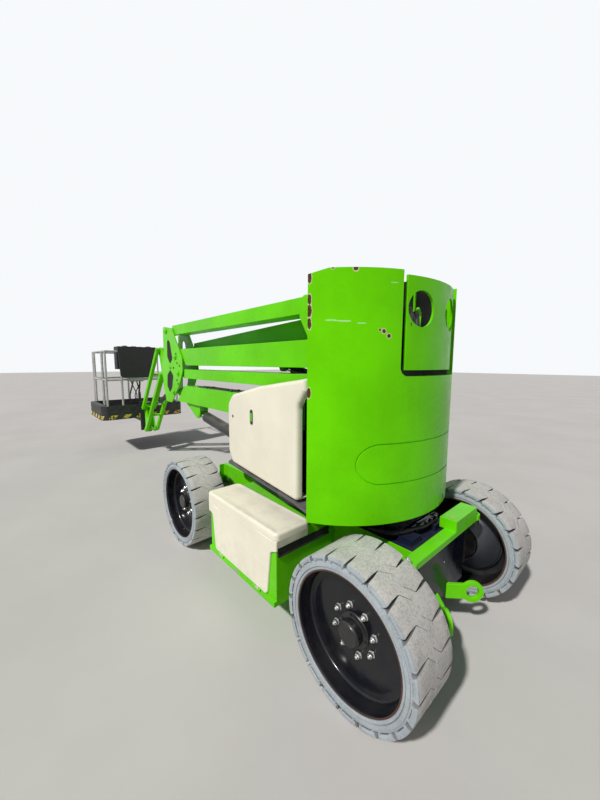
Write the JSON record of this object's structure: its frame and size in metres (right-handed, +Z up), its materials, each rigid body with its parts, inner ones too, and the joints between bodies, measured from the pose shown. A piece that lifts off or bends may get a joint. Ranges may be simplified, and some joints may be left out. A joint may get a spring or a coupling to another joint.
{
  "type": "articulating boom lift",
  "caption": "Narrow self-propelled articulating boom lift with four solid tyres, round counterweight, folding riser links, telescopic boom, jib and work cage.",
  "frame": {"origin": "on the ground under the middle of the whole machine as stowed", "axes": "+X towards the work cage, +Y to the machine's left, +Z up"},
  "size_m": [6.715, 1.5, 2.05],
  "materials": {
    "lime_paint": "gloss",
    "cream_cover": "satin",
    "tyre_grey": "dusty",
    "rim_black": "gloss",
    "dark_paint": "satin",
    "axle_paint": "satin",
    "cast_weight": "gloss",
    "galvanised": "matt",
    "black_steel": "satin",
    "black_cover": "matt",
    "rod_chrome": "polished",
    "tank_paint": "satin",
    "battery_case": "matt"
  },
  "bodies": {
    "chassis": {"chassis_frame": "lime_paint", "pod_tub_left": "lime_paint", "pod_tub_right": "lime_paint", "battery_packs": "battery_case", "tie_down_rear": "lime_paint", "tie_down_front": "lime_paint", "slew_ring": "dark_paint", "front_axle": "axle_paint", "rear_axle": "axle_paint"},
    "pod_cover_left": {"pod_cover_left": "cream_cover"},
    "pod_cover_right": {"pod_cover_right": "cream_cover"},
    "knuckle_left": {"steer_knuckle_left": "axle_paint"},
    "knuckle_right": {"steer_knuckle_right": "axle_paint"},
    "track_rod": {"track_rod": "lime_paint"},
    "turret": {"turret_base": "dark_paint", "turret_frame": "lime_paint", "counterweight": "cast_weight", "engine_block": "tank_paint", "hydraulic_tank": "tank_paint"},
    "canopy_left": {"canopy_left": "cream_cover"},
    "canopy_right": {"canopy_right": "cream_cover"},
    "lower_link": {"lower_link": "lime_paint"},
    "lower_tie": {"lower_tie": "lime_paint"},
    "front_knuckle": {"front_knuckle": "lime_paint"},
    "upper_link": {"upper_link": "lime_paint"},
    "upper_tie": {"upper_tie": "lime_paint"},
    "rear_knuckle": {"rear_knuckle": "lime_paint"},
    "boom_outer": {"boom_outer": "lime_paint"},
    "boom_inner": {"boom_inner": "lime_paint"},
    "nose": {"nose_bracket": "lime_paint"},
    "jib_lower": {"jib_lower_arms": "lime_paint"},
    "jib_upper": {"jib_upper_arms": "lime_paint"},
    "jib_head": {"jib_head": "lime_paint"},
    "cage": {"cage_mount": "black_steel", "cage_floor": "black_steel", "cage_frame": "galvanised", "console_cover": "black_cover"},
    "cage_gate": {"cage_gate": "galvanised"},
    "riser_cylinder_barrel": {"riser_cylinder_barrel": "black_steel"},
    "riser_cylinder_rod": {"riser_cylinder_rod": "rod_chrome"},
    "boom_cylinder_barrel": {"boom_cylinder_barrel": "black_steel"},
    "boom_cylinder_rod": {"boom_cylinder_rod": "rod_chrome"},
    "jib_cylinder_barrel": {"jib_cylinder_barrel": "black_steel"},
    "jib_cylinder_rod": {"jib_cylinder_rod": "rod_chrome"},
    "wheel_front_left": {"tyre_front_left": "tyre_grey", "rim_front_left": "rim_black"},
    "wheel_front_right": {"tyre_front_right": "tyre_grey", "rim_front_right": "rim_black"},
    "wheel_rear_left": {"tyre_rear_left": "tyre_grey", "rim_rear_left": "rim_black"},
    "wheel_rear_right": {"tyre_rear_right": "tyre_grey", "rim_rear_right": "rim_black"}
  },
  "joints": [
    {"name": "wheel_front_left_spin", "type": "hinge", "parent": "chassis", "child": "wheel_front_left", "pos_m": [-1.0965, 0.6075, 0.369], "axis": [0, 1, 0], "continuous": true},
    {"name": "steer_left", "type": "hinge", "parent": "chassis", "child": "knuckle_left", "pos_m": [-2.9885, 0.46, 0.369], "axis": [0, 0, 1], "range_deg": [-30, 30]},
    {"name": "wheel_rear_left_spin", "type": "hinge", "parent": "knuckle_left", "child": "wheel_rear_left", "pos_m": [-2.9885, 0.6075, 0.369], "axis": [0, 1, 0], "continuous": true},
    {"name": "pod_cover_left_open", "type": "hinge", "parent": "chassis", "child": "pod_cover_left", "pos_m": [-2.086, 0.74, 0.2403], "axis": [-1, 0, 0], "range_deg": [0, 90]},
    {"name": "canopy_left_open", "type": "hinge", "parent": "turret", "child": "canopy_left", "pos_m": [-1.4185, 0.375, 1.05], "axis": [0, 0, -1], "range_deg": [0, 80]},
    {"name": "wheel_front_right_spin", "type": "hinge", "parent": "chassis", "child": "wheel_front_right", "pos_m": [-1.0965, -0.6075, 0.369], "axis": [0, 1, 0], "continuous": true},
    {"name": "steer_right", "type": "hinge", "parent": "chassis", "child": "knuckle_right", "pos_m": [-2.9885, -0.46, 0.369], "axis": [0, 0, 1], "range_deg": [-30, 30]},
    {"name": "wheel_rear_right_spin", "type": "hinge", "parent": "knuckle_right", "child": "wheel_rear_right", "pos_m": [-2.9885, -0.6075, 0.369], "axis": [0, 1, 0], "continuous": true},
    {"name": "pod_cover_right_open", "type": "hinge", "parent": "chassis", "child": "pod_cover_right", "pos_m": [-2.086, -0.74, 0.2403], "axis": [1, 0, 0], "range_deg": [0, 90]},
    {"name": "canopy_right_open", "type": "hinge", "parent": "turret", "child": "canopy_right", "pos_m": [-1.4185, -0.375, 1.05], "axis": [0, 0, 1], "range_deg": [0, 80]},
    {"name": "track_rod_shift", "type": "slide", "parent": "chassis", "child": "track_rod", "axis": [0, 1, 0], "range_m": [-0.0577, 0.0577]},
    {"name": "turret_slew", "type": "hinge", "parent": "chassis", "child": "turret", "pos_m": [-2.2725, 0, 0.7], "axis": [0, 0, 1], "range_deg": [-177.5, 177.5]},
    {"name": "riser_lift", "type": "hinge", "parent": "turret", "child": "lower_link", "pos_m": [-2.6125, 0.21, 1.24], "axis": [0, -1, 0], "range_deg": [0, 70]},
    {"name": "lower_tie_swing", "type": "hinge", "parent": "turret", "child": "lower_tie", "pos_m": [-2.7625, 0.21, 1.47], "axis": [0, -1, 0], "range_deg": [0, 70]},
    {"name": "front_knuckle_level", "type": "hinge", "parent": "lower_link", "child": "front_knuckle", "pos_m": [0.0675, 0.21, 1.24], "axis": [0, -1, 0], "range_deg": [-70, 0]},
    {"name": "upper_link_unfold", "type": "hinge", "parent": "front_knuckle", "child": "upper_link", "pos_m": [-0.0125, 0.21, 1.66], "axis": [0, -1, 0], "range_deg": [-70, 0]},
    {"name": "upper_tie_swing", "type": "hinge", "parent": "front_knuckle", "child": "upper_tie", "pos_m": [0.2575, 0.21, 1.975], "axis": [0, -1, 0], "range_deg": [-70, 0]},
    {"name": "rear_knuckle_level", "type": "hinge", "parent": "upper_link", "child": "rear_knuckle", "pos_m": [-2.6225, 0.21, 1.66], "axis": [0, -1, 0], "range_deg": [0, 70]},
    {"name": "riser_cylinder_swing", "type": "hinge", "parent": "turret", "child": "riser_cylinder_barrel", "pos_m": [-1.7425, 0.21, 0.835], "axis": [0, -1, 0], "range_deg": [-1, 81]},
    {"name": "riser_cylinder_stroke", "type": "slide", "parent": "riser_cylinder_barrel", "child": "riser_cylinder_rod", "axis": [0.9884, 0, 0.1521], "range_m": [-0.002, 1.0621]},
    {"name": "boom_lift", "type": "hinge", "parent": "rear_knuckle", "child": "boom_outer", "pos_m": [-2.5025, 0, 1.818], "axis": [0, -1, 0], "range_deg": [0, 75]},
    {"name": "boom_telescope", "type": "slide", "parent": "boom_outer", "child": "boom_inner", "axis": [0.9987, 0, -0.0506], "range_m": [0, 1.6]},
    {"name": "nose_level", "type": "hinge", "parent": "boom_inner", "child": "nose", "pos_m": [1.01299, 0, 1.63991], "axis": [0, -1, 0], "range_deg": [-75, 0]},
    {"name": "boom_cylinder_swing", "type": "hinge", "parent": "rear_knuckle", "child": "boom_cylinder_barrel", "pos_m": [-2.3825, 0, 1.4], "axis": [0, -1, 0], "range_deg": [-1, 62]},
    {"name": "boom_cylinder_stroke", "type": "slide", "parent": "boom_cylinder_barrel", "child": "boom_cylinder_rod", "axis": [0.9742, 0, 0.2259], "range_m": [-0.002, 0.47688]},
    {"name": "jib_lift", "type": "hinge", "parent": "nose", "child": "jib_lower", "pos_m": [1.1475, 0, 1.41], "axis": [0, -1, 0], "range_deg": [-8, 99]},
    {"name": "jib_upper_swing", "type": "hinge", "parent": "nose", "child": "jib_upper", "pos_m": [1.2575, 0, 1.78], "axis": [0, -1, 0], "range_deg": [-8, 99]},
    {"name": "jib_head_level", "type": "hinge", "parent": "jib_lower", "child": "jib_head", "pos_m": [1.9807, 0, 0.45152], "axis": [0, -1, 0], "range_deg": [-99, 8]},
    {"name": "jib_cylinder_swing", "type": "hinge", "parent": "nose", "child": "jib_cylinder_barrel", "pos_m": [1.0575, 0, 1.16], "axis": [0, -1, 0], "range_deg": [-8, 81]},
    {"name": "jib_cylinder_stroke", "type": "slide", "parent": "jib_cylinder_barrel", "child": "jib_cylinder_rod", "axis": [0.9158, 0, -0.4017], "range_m": [-0.02881, 0.33374]},
    {"name": "cage_rotate", "type": "hinge", "parent": "jib_head", "child": "cage", "pos_m": [2.1475, 0, 1], "axis": [0, 0, 1], "range_deg": [-90, 90]},
    {"name": "cage_gate_open", "type": "hinge", "parent": "cage", "child": "cage_gate", "pos_m": [3.2165, 0.583, 1.3], "axis": [0, 0, 1], "range_deg": [0, 90]}
  ],
  "couplings": [
    {"joint": "steer_right", "follows": "steer_left", "ratio": 1},
    {"joint": "track_rod_shift", "follows": "steer_left", "m_per_rad": -0.11},
    {"joint": "lower_tie_swing", "follows": "riser_lift", "ratio": 1},
    {"joint": "front_knuckle_level", "follows": "riser_lift", "ratio": -1},
    {"joint": "upper_link_unfold", "follows": "riser_lift", "ratio": -1},
    {"joint": "upper_tie_swing", "follows": "riser_lift", "ratio": -1},
    {"joint": "rear_knuckle_level", "follows": "riser_lift", "ratio": 1},
    {"joint": "riser_cylinder_swing", "follows": "riser_lift", "ratio": 1.1404},
    {"joint": "riser_cylinder_stroke", "follows": "riser_lift", "m_per_rad": 0.86771},
    {"joint": "nose_level", "follows": "boom_lift", "ratio": -1},
    {"joint": "boom_cylinder_swing", "follows": "boom_lift", "ratio": 0.80404},
    {"joint": "boom_cylinder_stroke", "follows": "boom_lift", "m_per_rad": 0.36278},
    {"joint": "jib_upper_swing", "follows": "jib_lift", "ratio": 1},
    {"joint": "jib_head_level", "follows": "jib_lift", "ratio": -1},
    {"joint": "jib_cylinder_swing", "follows": "jib_lift", "ratio": 0.80516},
    {"joint": "jib_cylinder_stroke", "follows": "jib_lift", "m_per_rad": 0.19199}
  ]
}
